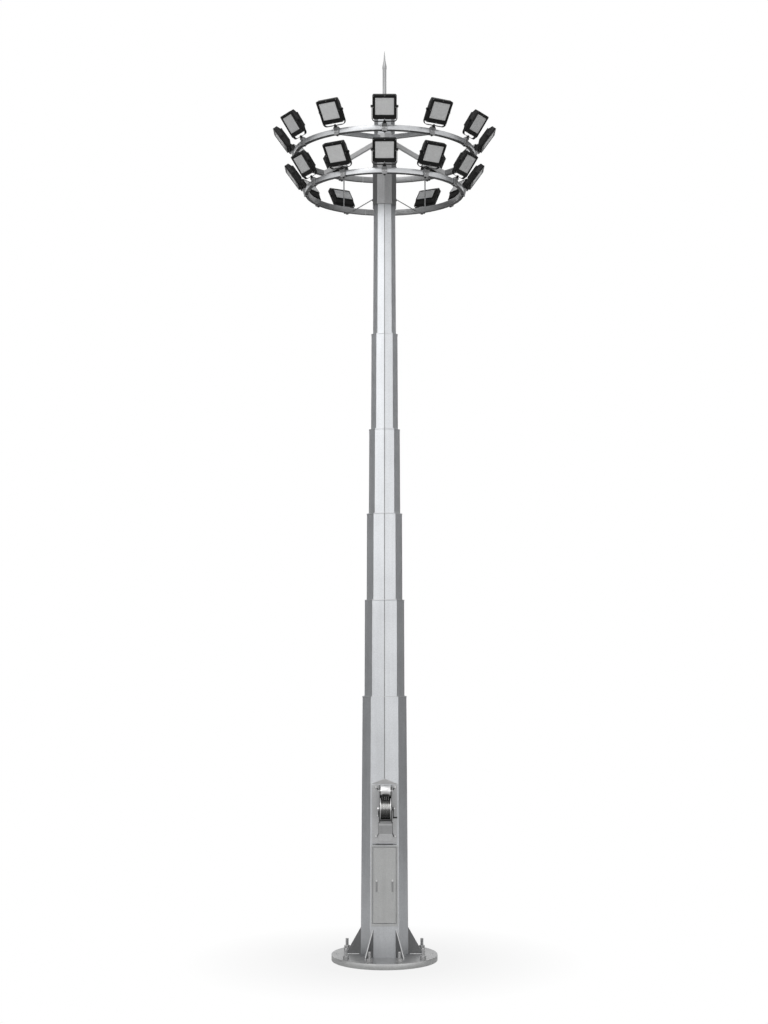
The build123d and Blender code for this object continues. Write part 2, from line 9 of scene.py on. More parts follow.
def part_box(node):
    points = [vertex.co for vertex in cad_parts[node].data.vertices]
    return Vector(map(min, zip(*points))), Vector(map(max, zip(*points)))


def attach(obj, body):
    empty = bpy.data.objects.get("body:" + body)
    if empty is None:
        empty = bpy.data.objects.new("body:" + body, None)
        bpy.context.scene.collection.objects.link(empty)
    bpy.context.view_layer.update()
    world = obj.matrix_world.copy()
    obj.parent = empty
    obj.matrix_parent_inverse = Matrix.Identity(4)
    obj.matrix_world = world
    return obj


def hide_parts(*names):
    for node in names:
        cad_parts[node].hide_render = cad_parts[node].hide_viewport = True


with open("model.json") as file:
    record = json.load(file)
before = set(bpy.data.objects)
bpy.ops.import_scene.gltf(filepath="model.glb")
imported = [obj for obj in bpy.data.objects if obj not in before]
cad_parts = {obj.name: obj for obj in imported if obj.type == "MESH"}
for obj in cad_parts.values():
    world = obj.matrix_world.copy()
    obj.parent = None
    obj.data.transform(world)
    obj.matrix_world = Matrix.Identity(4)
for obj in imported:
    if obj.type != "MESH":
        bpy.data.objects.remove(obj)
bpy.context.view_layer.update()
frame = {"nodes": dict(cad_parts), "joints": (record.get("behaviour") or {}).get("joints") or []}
cad_nodes = frame["nodes"]
joints = {joint["name"]: joint for joint in frame["joints"]}

# Everything is in metres, in the frame's own axes: the door and the winch face -Y, Z is up.
# A "bearing" is an angle seen from above, counted from the front (-Y) towards +X, in degrees.

# --- sizes ---
# mast, head and foot
side_count = 10
side_angle = 360 / side_count
section_count = 6
flattened_sections = (3, 5, 6)  # those whose rounded edges bend the light on their faces
lamp_count = 12                 # on each ring
ring_names = ("upper", "lower")
ring_thickness = 0.060
ring_weld_radius = 0.0035
ring_weld_bearings = (15, 105, 195, 285)
shade_band_inside = 0.004              # painted shade under the ring: the near-black band's faces, from the ring's outer face and foot
shade_band_outside = 0.0015
shade_band_below = 0.001
shade_band_above = 0.014
seam_half = 0.008
seam_rise = 0.003
seam_sunk = 0.0008
weld_radius = 0.0055
weld_ripple = 0.010             # from one ripple of a weld to the next
weld_lift = weld_radius * 0.4   # a bead's middle, above the faces it joins
gusset_bearings = (-150, -90, -30, 30, 90, 150)
gusset_half = 0.010
gusset_foot = (0.440, 0.650)    # where its foot starts and ends, from the mast's axis

# floodlights
lamp_width = 0.412
lamp_tall = 0.420
lamp_corner = 0.022
lamp_front = -0.0605            # the bezel's face, along the lamp's own Y
bezel_depth = 0.022
bezel_edge = 0.004
lens_width = 0.318
lens_tall = 0.292
lens_shift = 0.013
lens_face = -0.0535
lens_corner = 0.006
lens_bevel = 0.003
body_inset = 0.004              # how much smaller the body is than the bezel
body_end = 0.018                # where its straight sides end
back_face = 0.053
back_tall = 0.270
led_columns = 14
led_rows = 12
led_radius = 0.0086
led_height = 0.0042
sink_width = 0.330
sink_tall = 0.232
sink_plate = 0.004
sink_frame = 0.020              # depth of the frame round it
frame_inner = 0.006             # how much wider than the plate the frame is
frame_outer = 0.036
fin_count = 19
fin_thickness = 0.0036
fin_height = 0.020
rib_count = 25
rib_width = 0.0044
rib_tall = 0.0056
rib_end = 0.016
pivot_clear = 0.026             # no ribs nearer to the pivot
screw_inset = 0.016
screw_radius = 0.0055
strap_gap = 0.006
strap_thickness = 0.009
boss_radius = 0.022
pin_radius = 0.008
knob_length = 0.0155
knob_radius = 0.0215
knob_points = 48
flute_depth = 0.06              # share of the knob's radius
yoke_lean = 33.0
yoke_drop = 0.255
neck_length = 0.024
neck_top_radius = 0.0215        # at the strap
neck_foot_radius = 0.034
clamp_wall = 0.024
clamp_jaw = 0.014
clamp_bolt_reach = 0.027
clamp_bolt_drop = 0.012
jaw_bolt_inset = 0.020          # from the ring's outer face

# hexagon heads and nuts: across flats, height, radius of the washer or 0
yoke_nut = (0.030, 0.014, 0.022)
clamp_bolt = (0.019, 0.009, 0.014)
corner_bolt = (0.034, 0.016, 0)
pawl_bolt = (0.022, 0.010, 0.014)
left_axle_nut = (0.052, 0.014, 0)
right_axle_nut = (0.036, 0.014, 0.024)

# anchor bolts
bolt_circle_radius = 0.820
empty_hole_bearings = (90, 270)
stud_radius = 0.028
thread_pitch = 0.0055
thread_depth = 0.0024
nut_flats = 0.088
nut_height = 0.050
nut_bevel = 0.005
washer_radius = 0.056
washer_thickness = 0.010

# rope, winch and locks
rope_diameter = 0.012
rope_gap = 0.0005               # between a rope and what it runs over
rope_end_gap = 0.001            # between the outer turns and the drum's flanges
rope_runs = (-0.058, -0.022, 0.012, 0.050)    # their places along the roller
rope_steps = 60                 # in a turn
rope_wrap = 38                  # degrees of the roller that it follows
rope_wrap_steps = 8
rope_tail = 0.004
crank_handle = 0.060            # beyond the crank's boss
corner_dome = ((0.024, 0.0), (0.024, 0.004), (0.021, 0.006))    # radius, height
stay_out = 0.006                # middle of a stay, from the plate's face
stay_thickness = 0.008
lever_half = 0.012
lever_layers = ((0.010, 0.0015), (0.0115, 0), (0.0165, 0), (0.018, 0.0015))    # depth, inset
lever_steps = 10
# a lock's round parts, as (radius, place along its axis)
lock_boss = ((0.017, 0.0003), (0.017, 0.019), (0.0145, 0.022))
lock_shaft = ((0.0085, -0.012), (0.0085, 0.001))
lock_nut = ((0.017, -0.022), (0.017, -0.0123))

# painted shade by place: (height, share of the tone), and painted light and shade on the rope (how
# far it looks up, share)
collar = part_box("hub_sleeve")[0].z
# painted shade under the hub sleeve: the top section darkens just below its collar
collar_painted_shade = ((collar - 0.26, 1.0), (collar - 0.12, 0.62), (collar, 0.3))
# painted shade near the foot: the base darkens towards the flange
foot_painted_shade = ((0.06, 0.55), (0.22, 0.66), (0.42, 0.86), (0.7, 1.0))
# painted light and shade on the rope: bright where it faces out, near black where it looks up or
# down
rope_painted_light = ((-1.0, 0.02), (-0.66, 0.03), (-0.42, 0.22), (0.0, 0.5), (0.16, 1.1), (0.55, 1.1),
             (0.72, 0.12), (1.0, 0.05))

# studio: the light's name, place, target, size and brightness
softboxes = (
    ("key_left", (-14.5, -20, 15), (0, 0, 11), (11, 18), 1.16),
    ("key_right", (14.5, -20, 9), (0, 0, 8), (11, 16), 0.8),
    ("back_left", (-13.5, 18.5, 13), (0, 0, 9), (8, 18), 1.15),
    ("back_right", (13.5, 18.5, 13), (0, 0, 9), (8, 18), 1.15),
    ("top", (-6, -17, 27), (0, 0, 10), (14, 10), 2.5),
)
ambient_light = 0.36
floor_radius = 60.0
floor_grey = 0.5
floor_drop = 0.002              # under the flange, so that the two don't touch
fade_start = 1.2                # the shadow's reach: the floor is plain white from fade_end on
fade_end = 3.5
fade_least = 0.86               # share of white at the mast's foot
floor_in_mirrors = 0.3          # share of white that metal sees of it
card_grey = 0.12
card_side = 11.0                # the cards' place: beside the mast and behind it
card_back = (0.5, 11.0)
card_tall = 24.0
camera_side = -0.009
camera_distance = 28.9
camera_height = 5.65
camera_pitch = 4.316
sensor_width = 36.0
focal_length = 57.203
view_reach = 200.0


# --- materials ---
class Nodes:
    """A node tree, with short ways to add and join its nodes."""

    def __init__(self, tree):
        self.tree = tree

    def add(self, kind, **settings):
        node = self.tree.nodes.new(kind)
        for key, value in settings.items():
            setattr(node, key, value)
        return node

    def join(self, output, socket):
        self.tree.links.new(output, socket)

    def combine(self, operation, first, second):
        """Two outputs, or an output and a number, through a Math node."""
        node = self.add("ShaderNodeMath", operation=operation)
        self.join(first, node.inputs[0])
        if isinstance(second, float):
            node.inputs[1].default_value = second
        else:
            self.join(second, node.inputs[1])
        return node.outputs["Value"]

    def product(self, first, second):
        return self.combine("MULTIPLY", first, second)

    def spread(self, value, low, high, start=0.0, end=1.0):
        """A value that runs from start to end, taken to low to high."""
        node = self.add("ShaderNodeMapRange")
        ends = {"From Min": start, "From Max": end, "To Min": low, "To Max": high}
        for socket, number in ends.items():
            node.inputs[socket].default_value = number
        self.join(value, node.inputs["Value"])
        return node.outputs["Result"]


class Shader(Nodes):
    """A material with one Principled surface."""

    def __init__(self, name):
        self.material = bpy.data.materials.new(name)
        self.material.use_nodes = True
        super().__init__(self.material.node_tree)
        self.surface = self.tree.nodes["Principled BSDF"]
        self.place = self.add("ShaderNodeTexCoord").outputs["Object"]

    def stretched(self, scale):
        """The place scaled along each axis."""
        mapping = self.add("ShaderNodeMapping")
        mapping.inputs["Scale"].default_value = scale
        self.join(self.place, mapping.inputs["Vector"])
        return mapping.outputs["Vector"]

    def noise(self, scale, detail=3.0, vector=None):
        node = self.add("ShaderNodeTexNoise")
        node.inputs["Scale"].default_value = scale
        node.inputs["Detail"].default_value = detail
        self.join(vector or self.place, node.inputs["Vector"])
        return node.outputs["Fac"]

    def cells(self, scale):
        """One random grey for each crystal-like cell."""
        node = self.add("ShaderNodeTexVoronoi")
        node.inputs["Scale"].default_value = scale
        self.join(self.place, node.inputs["Vector"])
        return self.grey(node.outputs["Color"])

    def grey(self, colour):
        node = self.add("ShaderNodeRGBToBW")
        self.join(colour, node.inputs["Color"])
        return node.outputs["Val"]

    def upward(self, vector):
        """The Z part of a vector."""
        node = self.add("ShaderNodeSeparateXYZ")
        self.join(vector, node.inputs["Vector"])
        return node.outputs["Z"]

    def height(self):
        """Metres above the foot."""
        return self.upward(self.place)

    def facing_up(self):
        """1 on a face that looks up, 0 on an upright one, -1 on one that looks down."""
        return self.upward(self.add("ShaderNodeNewGeometry").outputs["Normal"])

    def ramp(self, value, stops):
        """A factor that follows the value, through (value, factor) stops."""
        first, last = stops[0][0], stops[-1][0]
        node = self.add("ShaderNodeValToRGB")
        band = node.color_ramp.elements
        for index, (at, factor) in enumerate(stops):
            place = (at - first) / (last - first)
            element = band[index] if index < len(band) else band.new(place)
            element.position = place
            element.color = (factor, factor, factor, 1)
        self.join(self.spread(value, 0.0, 1.0, first, last), node.inputs["Fac"])
        return self.grey(node.outputs["Color"])

    def tinted(self, value, dark, light):
        """A colour between two, by value."""
        node = self.add("ShaderNodeMix", data_type="RGBA")
        node.inputs["A"].default_value = (*dark, 1)
        node.inputs["B"].default_value = (*light, 1)
        self.join(value, node.inputs["Factor"])
        return node.outputs["Result"]

    def colour(self, output):
        self.join(output, self.surface.inputs["Base Color"])

    def roughness(self, output):
        self.join(output, self.surface.inputs["Roughness"])

    def bump(self, output, strength, distance):
        node = self.add("ShaderNodeBump")
        node.inputs["Strength"].default_value = strength
        node.inputs["Distance"].default_value = distance
        self.join(output, node.inputs["Height"])
        self.join(node.outputs["Normal"], self.surface.inputs["Normal"])

    def fixed(self, **sockets):
        for name, value in sockets.items():
            self.surface.inputs[name.replace("_", " ")].default_value = value


def galvanised(name, dark, light, metallic=0.8, rough=(0.34, 0.5), spangle=75.0, painted_shade=None):
    """Hot-dip zinc: crystal spangle, cloudy weathering, faint streaks, and painted shade by height.
    """
    shader = Shader(name)
    spangles = shader.cells(spangle)
    clouds = shader.noise(2.2, 5.0)
    streaks = shader.noise(1.0, 4.0, shader.stretched((16, 16, 0.7)))
    tone = shader.product(shader.spread(clouds, 0.75, 1.15), shader.spread(streaks, 0.8, 1.1))
    tone = shader.product(tone, shader.spread(spangles, 0.82, 1.12))
    # painted shade: the tone darkens by height
    if painted_shade:
        tone = shader.product(tone, shader.ramp(shader.height(), painted_shade))
    shader.colour(shader.tinted(tone, dark, light))
    shader.roughness(shader.spread(spangles, *rough))
    shader.bump(shader.noise(160, 3.0), 0.18, 0.0006)
    shader.fixed(Metallic=metallic)
    return shader.material


def powder_coated(name, dark, light, rough=(0.45, 0.6), gloss=0.2):
    """Textured black coating with a fine orange peel and paler dust."""
    shader = Shader(name)
    shader.colour(shader.tinted(shader.noise(9, 5.0), dark, light))
    shader.roughness(shader.spread(shader.noise(40, 4.0), *rough))
    shader.bump(shader.noise(700, 2.0), 0.25, 0.0004)
    shader.fixed(Specular_IOR_Level=gloss)
    return shader.material


def cast_aluminium(name, dark, light, metallic=0.35):
    """Matt, slightly pitted casting."""
    shader = Shader(name)
    shader.colour(shader.tinted(shader.noise(14, 5.0), dark, light))
    shader.roughness(shader.spread(shader.noise(60, 3.0), 0.42, 0.6))
    shader.bump(shader.noise(420, 3.0), 0.3, 0.0005)
    shader.fixed(Metallic=metallic)
    return shader.material


def turned_steel(name, dark, light, rough=(0.16, 0.3)):
    """Machined steel with fine turning marks round the X axis."""
    shader = Shader(name)
    marks = shader.noise(1.0, 2.0, shader.stretched((900, 12, 12)))
    shader.colour(shader.tinted(marks, dark, light))
    shader.roughness(shader.spread(marks, *rough))
    shader.bump(marks, 0.12, 0.0003)
    shader.fixed(Metallic=1.0)
    return shader.material


def rope_with_painted_light(name):
    """Greased wires, with a painted highlight where the rope faces out and painted shade, near
    black, above and below.
    """
    shader = Shader(name)
    turns = shader.noise(1.0, 1.0, shader.stretched((85, 1.5, 1.5)))
    strands = shader.noise(1.0, 2.0, shader.stretched((260, 340, 340)))
    tone = shader.product(shader.spread(turns, 0.1, 1.6), shader.spread(strands, 0.5, 1.3))
    # painted highlight and painted shade, by the way the rope's faces look
    tone = shader.product(tone, shader.ramp(shader.facing_up(), rope_painted_light))
    shader.colour(shader.tinted(tone, (0.03, 0.03, 0.03), (0.66, 0.66, 0.65)))
    shader.roughness(shader.spread(strands, 0.2, 0.36))
    shader.bump(strands, 0.6, 0.0015)
    shader.fixed(Metallic=0.9)
    return shader.material


def led_board(name, dark, light, rough=(0.4, 0.5), gloss=0.3):
    """The pale board behind the lens, with a faint mottle."""
    shader = Shader(name)
    shader.colour(shader.tinted(shader.noise(90, 3.0), dark, light))
    shader.roughness(shader.spread(shader.noise(30, 2.0), *rough))
    shader.fixed(Specular_IOR_Level=gloss)
    return shader.material


mast_tones = ((0.295, 0.303, 0.312), (0.71, 0.726, 0.748))
MAST_STEEL = galvanised("mast_zinc", *mast_tones)
HEAD_STEEL = galvanised("head_zinc", (0.218, 0.222, 0.228), (0.62, 0.63, 0.645), 0.9)
# darkened zinc: painted shade under the lamp rings, on the hub sleeve and the mast cap
SLEEVE_PAINTED_SHADE = galvanised("sleeve_painted_shade_zinc", (0.10, 0.101, 0.103), (0.34, 0.342, 0.346), 0.85)
FINIAL_STEEL = galvanised("finial_zinc", (0.24, 0.242, 0.246), (0.5, 0.504, 0.51), 0.5)
DOOR_STEEL = galvanised("door_zinc", (0.30, 0.304, 0.302), (0.62, 0.626, 0.622), 0.6)
FLANGE_STEEL = galvanised("flange_zinc", (0.14, 0.142, 0.144), (0.46, 0.463, 0.466), 0.6)
# near-white, non-metal zinc: painted light on the faces of the lowest section that look downwards
RAMP_PAINTED_LIGHT = galvanised("ramp_painted_light_zinc", (0.86, 0.862, 0.865), (0.98, 0.98, 0.98), 0.0, (0.5, 0.6))
# near-white, non-metal zinc: painted light on the spokes behind the mast
FAR_SPOKE_PAINTED_LIGHT = galvanised("far_spoke_painted_light_zinc", (0.62, 0.622, 0.625), (0.84, 0.843, 0.847), 0.0, (0.5, 0.6))
SHADED_STEEL = galvanised("shaded_zinc", (0.10, 0.101, 0.103), (0.34, 0.343, 0.347), 0.7)
# near-black zinc: painted shade on faces that look down
UNDERSIDE_PAINTED_SHADE = galvanised("underside_painted_shade_zinc", (0.006, 0.006, 0.006), (0.03, 0.03, 0.031), 0.0,
                       (0.5, 0.6))
# darker zinc: painted shade on the gussets' broad faces
GUSSET_PAINTED_SHADE = galvanised("gusset_painted_shade_zinc", (0.062, 0.062, 0.063), (0.245, 0.247, 0.25), 0.6)
WELD_STEEL = galvanised("weld_zinc", (0.30, 0.303, 0.306), (0.66, 0.663, 0.668), spangle=220.0)
WINCH_STEEL = galvanised("winch_zinc", (0.16, 0.162, 0.164), (0.50, 0.504, 0.508), 0.6,
                         spangle=140.0)
CHEEK_STEEL = galvanised("cheek_zinc", (0.08, 0.08, 0.082), (0.30, 0.302, 0.305), 0.7,
                         spangle=140.0)
# the base's zinc, with painted shade towards the flange
FOOT_STEEL_PAINTED_SHADE = galvanised("foot_zinc_painted_shade", *mast_tones, painted_shade=foot_painted_shade)
# the top section's zinc, with painted shade just below the hub sleeve
TOP_STEEL_PAINTED_SHADE = galvanised("top_zinc_painted_shade", *mast_tones, painted_shade=collar_painted_shade)
PLATE_STEEL = galvanised("plate_zinc", (0.26, 0.263, 0.266), (0.62, 0.624, 0.63), 0.6)
FASTENER = galvanised("fastener_zinc", (0.16, 0.16, 0.162), (0.50, 0.501, 0.503), spangle=260.0)
HOUSING = powder_coated("housing_black", (0.006, 0.006, 0.006), (0.016, 0.016, 0.016))
STRAP = powder_coated("strap_black", (0.010, 0.010, 0.010), (0.026, 0.026, 0.026))
FIN_BLACK = powder_coated("fin_black", (0.06, 0.06, 0.06), (0.16, 0.16, 0.16))
HEAT_SINK = cast_aluminium("heat_sink", (0.78, 0.785, 0.79), (0.94, 0.945, 0.95), 0.2)
CLAMP = cast_aluminium("clamp_casting", (0.20, 0.202, 0.205), (0.42, 0.423, 0.428), metallic=0.6)
BRIGHT = turned_steel("bright_steel", (0.62, 0.62, 0.62), (0.9, 0.9, 0.9), (0.3, 0.42))
LEVER = galvanised("lever_zinc", (0.20, 0.202, 0.204), (0.40, 0.403, 0.407), 0.5, spangle=300.0)
DARK_METAL = powder_coated("dark_metal", (0.012, 0.012, 0.012), (0.04, 0.04, 0.04), (0.3, 0.45))
# the rope's wires, with painted light and shade by the way they face
ROPE = rope_with_painted_light("rope_wires_painted_light")
BOARD = led_board("led_board", (0.86, 0.865, 0.865), (0.95, 0.955, 0.955))
LED = led_board("led_lens", (0.79, 0.795, 0.795), (0.95, 0.955, 0.955), (0.15, 0.25), 0.5)


# --- making meshes ---
def placed(name, data):
    """A new object in the scene."""
    made = bpy.data.objects.new(name, data)
    bpy.context.scene.collection.objects.link(made)
    return made


def finished(bm, name):
    """The mesh of a bmesh, with its faces turned outwards."""
    bmesh.ops.recalc_face_normals(bm, faces=bm.faces)
    mesh = bpy.data.meshes.new(name)
    bm.to_mesh(mesh)
    bm.free()
    return mesh


def piece(name, mesh, materials, body, sharp=38.0):
    """A mesh becomes a smooth-shaded piece that rides on a body."""
    if isinstance(mesh, bmesh.types.BMesh):
        mesh = finished(mesh, name)
    for material in materials:
        mesh.materials.append(material)
    for polygon in mesh.polygons:
        polygon.use_smooth = True
    mesh.set_sharp_from_angle(angle=math.radians(sharp))
    made = placed(name, mesh)
    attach(made, body)
    return made


def bridge(bm, rings, material=0, caps=(True, True)):
    """Skin a row of rings that have as many points each."""
    rows = [[bm.verts.new(point) for point in ring] for ring in rings]
    for low, high in zip(rows, rows[1:]):
        for index in range(len(low)):
            after = (index + 1) % len(low)
            face = bm.faces.new((low[index], low[after], high[after], high[index]))
            face.material_index = material
    for wanted, row in ((caps[0], rows[0]), (caps[1], rows[-1])):
        if wanted:
            bm.faces.new(row).material_index = material


def circle(radius, segments):
    angles = [2 * math.pi * step / segments for step in range(segments)]
    return [(radius * math.cos(angle), radius * math.sin(angle)) for angle in angles]


def lathe(bm, profile, place, segments, material=0):
    """Turn a profile of (radius, height) round the place's Z axis."""
    rings = []
    for radius, height in profile:
        rings.append([place @ Vector((x, y, height)) for x, y in circle(radius, segments)])
    bridge(bm, rings, material)


def chamfered_block(bm, size, place, chamfer, material=0):
    """A block about the place's origin, with every long edge cut."""
    x, y, z = (value / 2 for value in size)
    c = chamfer
    rings = []
    for height, inset in ((-z, c), (c - z, 0), (z - c, 0), (z, c)):
        a, b = x - inset, y - inset
        flat = [(-a + c, -b), (a - c, -b), (a, -b + c), (a, b - c),
                (a - c, b), (-a + c, b), (-a, b - c), (-a, -b + c)]
        rings.append([place @ Vector((px, py, height)) for px, py in flat])
    bridge(bm, rings, material)


def hex_head(bm, place, size, material=0):
    """A hexagon head or nut that stands up the place's Z axis, on its washer."""
    flats, height, washer = size
    corner = flats / math.sqrt(3)
    base = 0.0
    if washer:
        base = height * 0.16
        lip = min(0.0015, height / 6)
        lathe(bm, [(washer, 0), (washer, height * 0.12), (washer - lip, base)], place, 28, material)
    top = base + height
    bevel = height * 0.14
    profile = [(corner * 0.93, base), (corner, base + bevel), (corner, top - bevel),
               (corner * 0.9, top)]
    lathe(bm, profile, place, 6, material)


def rounded(width, tall, radius, y, shift=0.0):
    """A rounded rectangle across the lamp's own Y axis."""
    steps = 6
    points = []
    for side_x, side_z, start in ((1, 1, 0), (-1, 1, 90), (-1, -1, 180), (1, -1, 270)):
        x = side_x * (width / 2 - radius)
        z = side_z * (tall / 2 - radius) + shift
        for step in range(steps + 1):
            angle = math.radians(start + 90 * step / steps)
            points.append(Vector((x + radius * math.cos(angle), y, z + radius * math.sin(angle))))
    return points


def at_bearing(degrees):
    return Matrix.Rotation(math.radians(degrees), 4, "Z")


def towards(point, direction):
    """A place at a point with its Z axis along a direction."""
    turn = Vector(direction).to_track_quat("Z", "Y").to_matrix().to_4x4()
    return Matrix.Translation(point) @ turn


def bead(bm, points, radius=weld_radius, closed=False):
    """A rippled weld bead along a line of points."""
    fine = []
    ends = list(points) + ([points[0]] if closed else [])
    for start, end in zip(ends, ends[1:]):
        count = max(2, round((end - start).length / weld_ripple))
        fine += [start.lerp(end, step / count) for step in range(count)]
    if not closed:
        fine.append(ends[-1])
    rings = []
    for index, point in enumerate(fine):
        after = fine[(index + 1) % len(fine)] if closed else fine[min(index + 1, len(fine) - 1)]
        before = fine[index - 1] if closed or index else point
        place = towards(point, after - before)
        swell = radius * (1.0 if index % 2 else 0.84)
        rings.append([place @ Vector((x, y, 0)) for x, y in circle(swell, 6)])
    if closed:
        rings.append(rings[0])
    bridge(bm, rings, caps=(not closed, not closed))
    join_doubles(bm)


def join_doubles(bm):
    """Close a loop whose first and last rings lie on each other."""
    bmesh.ops.remove_doubles(bm, verts=bm.verts, dist=1e-6)


# --- carried-over CAD nodes ---
def dress(node, material, edge=0.0, segments=2):
    """Give a CAD node its finish, and rounded edges by modifiers alone."""
    made = cad_nodes[node]
    made.data.materials.clear()
    made.data.materials.append(material)
    if edge:
        weld = made.modifiers.new("join_corners", "WELD")
        weld.merge_threshold = 0.00002
        round_off = made.modifiers.new("edge", "BEVEL")
        round_off.width = edge
        round_off.segments = segments
        round_off.limit_method = "ANGLE"
        round_off.angle_limit = math.radians(28)
        round_off.harden_normals = True


def flatten(node):
    """Keep the broad faces of a rounded node flat, by the weight of their area."""
    level = cad_nodes[node].modifiers.new("flat_faces", "WEIGHTED_NORMAL")
    level.mode = "FACE_AREA"
    level.weight = 100


def refinish(node, material, chosen):
    """Give the faces of a CAD node that are chosen another finish."""
    data = cad_nodes[node].data
    data.materials.append(material)
    index = len(data.materials) - 1
    for polygon in data.polygons:
        if chosen(polygon.normal, polygon.center):
            polygon.material_index = index


def outwards(normal, middle):
    """1 for a face that looks away from the mast's axis, -1 for one that looks at it."""
    return Vector((middle.x, middle.y, 0)).normalized().dot(normal)


def sideways(normal, middle):
    """1 or -1 for the broad faces of a plate that stands along a radius."""
    return Vector((-middle.y, middle.x, 0)).normalized().dot(normal)


# a node, its finish and the width of its rounded edges
finishes = (
    ("mast_cap", SLEEVE_PAINTED_SHADE, 0.002),
    ("finial", FINIAL_STEEL, 0.002),
    ("gusset_plates", WELD_STEEL, 0.002),
    ("base_flange", FLANGE_STEEL, 0.004),
    ("door", DOOR_STEEL, 0.0015),
    ("door_frame", DOOR_STEEL, 0.001),
    ("hub_sleeve", SLEEVE_PAINTED_SHADE, 0.003),
    ("ring_spokes", HEAD_STEEL, 0.005),
    ("lower_ring_stays", SHADED_STEEL, 0.0),
    ("winch_plate", PLATE_STEEL, 0.002),
    ("winch_frame", CHEEK_STEEL, 0.002),
    ("winch_apron", PLATE_STEEL, 0.003),
    ("winch_drum", BRIGHT, 0.0015),
    ("winch_roller", BRIGHT, 0.004),
    ("winch_crank", DARK_METAL, 0.002),
)
# faces with their own finish, chosen by their normal and middle
face_finishes = [
    # painted shade on the gussets' broad faces
    ("gusset_plates", GUSSET_PAINTED_SHADE, lambda normal, middle: abs(sideways(normal, middle)) > 0.8),
    # painted light on the lowest section's faces that look downwards
    ("mast_section_1", RAMP_PAINTED_LIGHT, lambda normal, middle: -0.9 < normal.z < -0.1),
    ("base_flange", DOOR_STEEL, lambda normal, middle: abs(normal.z) < 0.5),
    # painted shade in the door's gap: the door's edges and the jambs' inner faces are dark metal
    ("door", DARK_METAL, lambda normal, middle: abs(normal.x) > 0.8 or abs(normal.z) > 0.8),
    ("door_jambs", DARK_METAL, lambda normal, middle: normal.x * middle.x < -0.05),
    # painted shade on the hub sleeve's side faces
    ("hub_sleeve", CHEEK_STEEL, lambda normal, middle: abs(normal.x) > 0.5),
    # painted shade on the spokes' undersides
    ("ring_spokes", UNDERSIDE_PAINTED_SHADE, lambda normal, middle: normal.z < -0.8),
    # painted light: the spokes behind the mast are paler
    ("ring_spokes", FAR_SPOKE_PAINTED_LIGHT, lambda normal, middle: middle.y > 0),
]
for ring_name in ring_names:
    face_finishes += [
        # painted shade on the rings' inner faces and undersides
        (f"{ring_name}_ring", SHADED_STEEL, lambda normal, middle: outwards(normal, middle) < -0.7),
        (f"{ring_name}_ring", UNDERSIDE_PAINTED_SHADE, lambda normal, middle: normal.z < -0.8),
    ]


def dress_cad_nodes():
    for index in range(1, section_count + 1):
        dress(f"mast_section_{index}", MAST_STEEL if index < section_count else TOP_STEEL_PAINTED_SHADE, 0.004)
    for index in flattened_sections:
        flatten(f"mast_section_{index}")
    for node in ("base_shell_left", "base_shell_right", "door_jambs", "door_sill"):
        dress(node, FOOT_STEEL_PAINTED_SHADE)
    for node, material, edge in finishes:
        dress(node, material, edge)
    for ring in ring_names:
        dress(f"{ring}_ring", HEAD_STEEL, 0.006, 3)
        dress(f"{ring}_lamp_clamps", CLAMP, 0.003)
        dress(f"{ring}_lamp_yokes", STRAP, 0.0012)
    for node, material, chosen in face_finishes:
        refinish(node, material, chosen)


# --- floodlights ---
lamp_materials = (HOUSING, HEAT_SINK, BOARD, LED, FASTENER, FIN_BLACK)
housing, heat_sink, board, led, screw, rib = range(len(lamp_materials))


def lamp_mesh():
    """One floodlight about its pivot: -Y is the way it shines, X the pivot, Z up its height."""
    bm = bmesh.new()
    joint = lamp_front + bezel_depth
    width, tall, corner = lamp_width, lamp_tall, lamp_corner
    body_width, body_tall = width - body_inset, tall - body_inset
    lip = 2 * lens_bevel
    bridge(bm, [
        rounded(lens_width, lens_tall, lens_corner, lens_face, lens_shift),
        rounded(lens_width + lip, lens_tall + lip, lens_corner + lens_bevel, lamp_front + 0.001,
                lens_shift),
        rounded(width - 2 * bezel_edge, tall - 2 * bezel_edge, corner - bezel_edge, lamp_front),
        rounded(width, tall, corner, lamp_front + bezel_edge),
        rounded(width, tall, corner, joint),
        rounded(body_width, body_tall, corner, joint + 0.002),
        rounded(body_width, body_tall, corner, body_end),
        rounded(body_width - 0.006, body_tall - 0.008, corner, body_end + 0.005),
        rounded(body_width - 0.012, back_tall + 0.006, corner, back_face - 0.003),
        rounded(body_width - 0.018, back_tall - 0.002, corner, back_face),
    ], housing, caps=(False, True))
    bridge(bm, [
        rounded(lens_width + 0.002, lens_tall + 0.002, lens_corner, lens_face + 0.003, lens_shift),
        rounded(lens_width, lens_tall, lens_corner, lens_face, lens_shift),
    ], board)
    add_leds(bm)
    add_heat_sink(bm)
    add_ribs(bm)
    add_bezel_screws(bm)
    for side in (-1, 1):
        add_pivot(bm, side)
    mesh = finished(bm, "floodlight")
    for material in lamp_materials:
        mesh.materials.append(material)
    return mesh


def steps_about_middle(count, pitch):
    """Evenly spaced places, with as many on each side of 0."""
    return [(index - (count - 1) / 2) * pitch for index in range(count)]


def add_leds(bm):
    profile = [(led_radius, 0), (led_radius * 0.8, led_height * 0.65),
               (led_radius * 0.35, led_height)]
    for x in steps_about_middle(led_columns, lens_width / (led_columns + 0.6)):
        for z in steps_about_middle(led_rows, lens_tall / (led_rows + 0.6)):
            spot = Vector((x, lens_face, lens_shift + z))
            lathe(bm, profile, towards(spot, (0, -1, 0)), 8, led)


